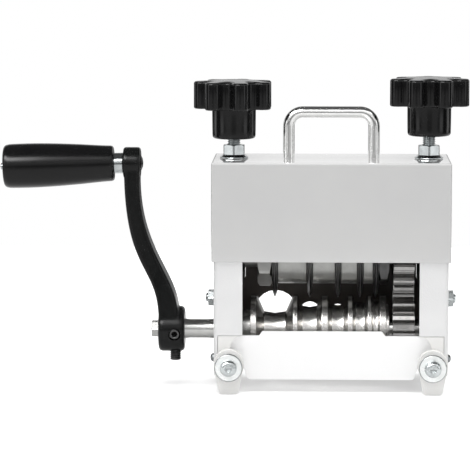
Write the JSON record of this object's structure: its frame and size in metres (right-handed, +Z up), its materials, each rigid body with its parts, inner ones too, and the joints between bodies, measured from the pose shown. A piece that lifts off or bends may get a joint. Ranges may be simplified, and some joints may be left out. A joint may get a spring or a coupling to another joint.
{
  "type": "wire stripping machine",
  "caption": "Bench machine that slits and strips cable: a crank turns a grooved feed roller under a geared stack of round blades, set by two star knobs.",
  "frame": {"origin": "middle of the bounding box, on the plane of the foot bottoms", "axes": "+Z up, +X along the shafts away from the crank, the cable goes in from -Y towards +Y"},
  "size_m": [0.2948, 0.0876, 0.1953],
  "materials": {
    "white_powder_coat": "fine texture",
    "grey_paint": "satin",
    "warm_grey_paint": "satin",
    "black_plastic": "gloss",
    "black_casting": "satin black paint",
    "polished_steel": "polished",
    "ground_steel": "ground",
    "tool_steel": "hardened",
    "gear_steel": "worn",
    "zinc_plate": "zinc plated",
    "black_oxide": "black oxide",
    "bronze_black_sheet": "dark",
    "bearing_steel": "ground"
  },
  "bodies": {
    "frame": {"bridge_plate": "ground_steel", "carry_handle": "polished_steel", "front_guard": "white_powder_coat", "front_left_foot": "warm_grey_paint", "front_left_foot_screw": "zinc_plate", "front_left_foot_washer": "zinc_plate", "front_right_foot": "warm_grey_paint", "front_right_foot_screw": "zinc_plate", "front_right_foot_washer": "zinc_plate", "left_guide_nut": "zinc_plate", "left_guide_screw": "zinc_plate", "left_leg_bracket": "warm_grey_paint", "left_lower_bearing": "bearing_steel", "left_side_plate": "white_powder_coat", "left_stud_nut": "zinc_plate", "rear_guide_plate": "bronze_black_sheet", "rear_left_foot": "warm_grey_paint", "rear_left_foot_screw": "zinc_plate", "rear_left_foot_washer": "zinc_plate", "rear_right_foot": "warm_grey_paint", "rear_right_foot_screw": "zinc_plate", "rear_right_foot_washer": "zinc_plate", "right_guide_nut": "zinc_plate", "right_guide_screw": "zinc_plate", "right_leg_bracket": "warm_grey_paint", "right_lower_bearing": "bearing_steel", "right_side_plate": "white_powder_coat", "right_stud_nut": "zinc_plate", "top_cover": "grey_paint"},
    "drive": {"drive_shaft": "ground_steel", "feed_roller": "polished_steel", "lower_gear": "gear_steel", "crank_arm": "black_casting", "front_set_screw": "black_oxide", "lower_set_screw": "black_oxide", "grip_spindle": "zinc_plate"},
    "grip": {"crank_grip": "black_plastic"},
    "carriage": {"left_bearing_block": "ground_steel", "right_bearing_block": "ground_steel", "left_upper_bearing": "bearing_steel", "right_upper_bearing": "bearing_steel"},
    "blade_set": {"blade_shaft": "ground_steel", "blade_1": "tool_steel", "blade_2": "tool_steel", "blade_3": "tool_steel", "blade_4": "tool_steel", "blade_5": "tool_steel", "spacer_1": "ground_steel", "spacer_2": "ground_steel", "spacer_3": "ground_steel", "spacer_4": "ground_steel", "left_lock_nut": "ground_steel", "right_lock_nut": "ground_steel", "upper_gear": "gear_steel"},
    "left_knob_set": {"left_knob": "black_plastic", "left_stud": "zinc_plate"},
    "right_knob_set": {"right_knob": "black_plastic", "right_stud": "zinc_plate"}
  },
  "joints": [
    {"name": "crank_turn", "type": "hinge", "parent": "frame", "child": "drive", "pos_m": [0.06138, 0, 0.0355], "axis": [1, 0, 0], "continuous": true},
    {"name": "grip_spin", "type": "hinge", "parent": "drive", "child": "grip", "pos_m": [-0.06352, 0, 0.1409], "axis": [0.9995, 0, 0.0305], "continuous": true},
    {"name": "left_knob_turn", "type": "hinge", "parent": "carriage", "child": "left_knob_set", "pos_m": [0.00018, 0, 0.17], "axis": [0, 0, 1], "range_deg": [0, 1080]},
    {"name": "right_knob_turn", "type": "hinge", "parent": "carriage", "child": "right_knob_set", "pos_m": [0.12258, 0, 0.17], "axis": [0, 0, 1], "range_deg": [0, 1080]},
    {"name": "carriage_lift", "type": "slide", "parent": "frame", "child": "carriage", "axis": [0, 0, 1], "range_m": [0, 0.00375]},
    {"name": "blade_spin", "type": "hinge", "parent": "carriage", "child": "blade_set", "pos_m": [0.06138, 0, 0.0835], "axis": [1, 0, 0], "continuous": true}
  ],
  "couplings": [
    {"joint": "blade_spin", "follows": "crank_turn", "ratio": -1},
    {"joint": "left_knob_turn", "follows": "carriage_lift", "rad_per_m": 5026.5},
    {"joint": "right_knob_turn", "follows": "carriage_lift", "rad_per_m": 5026.5}
  ]
}
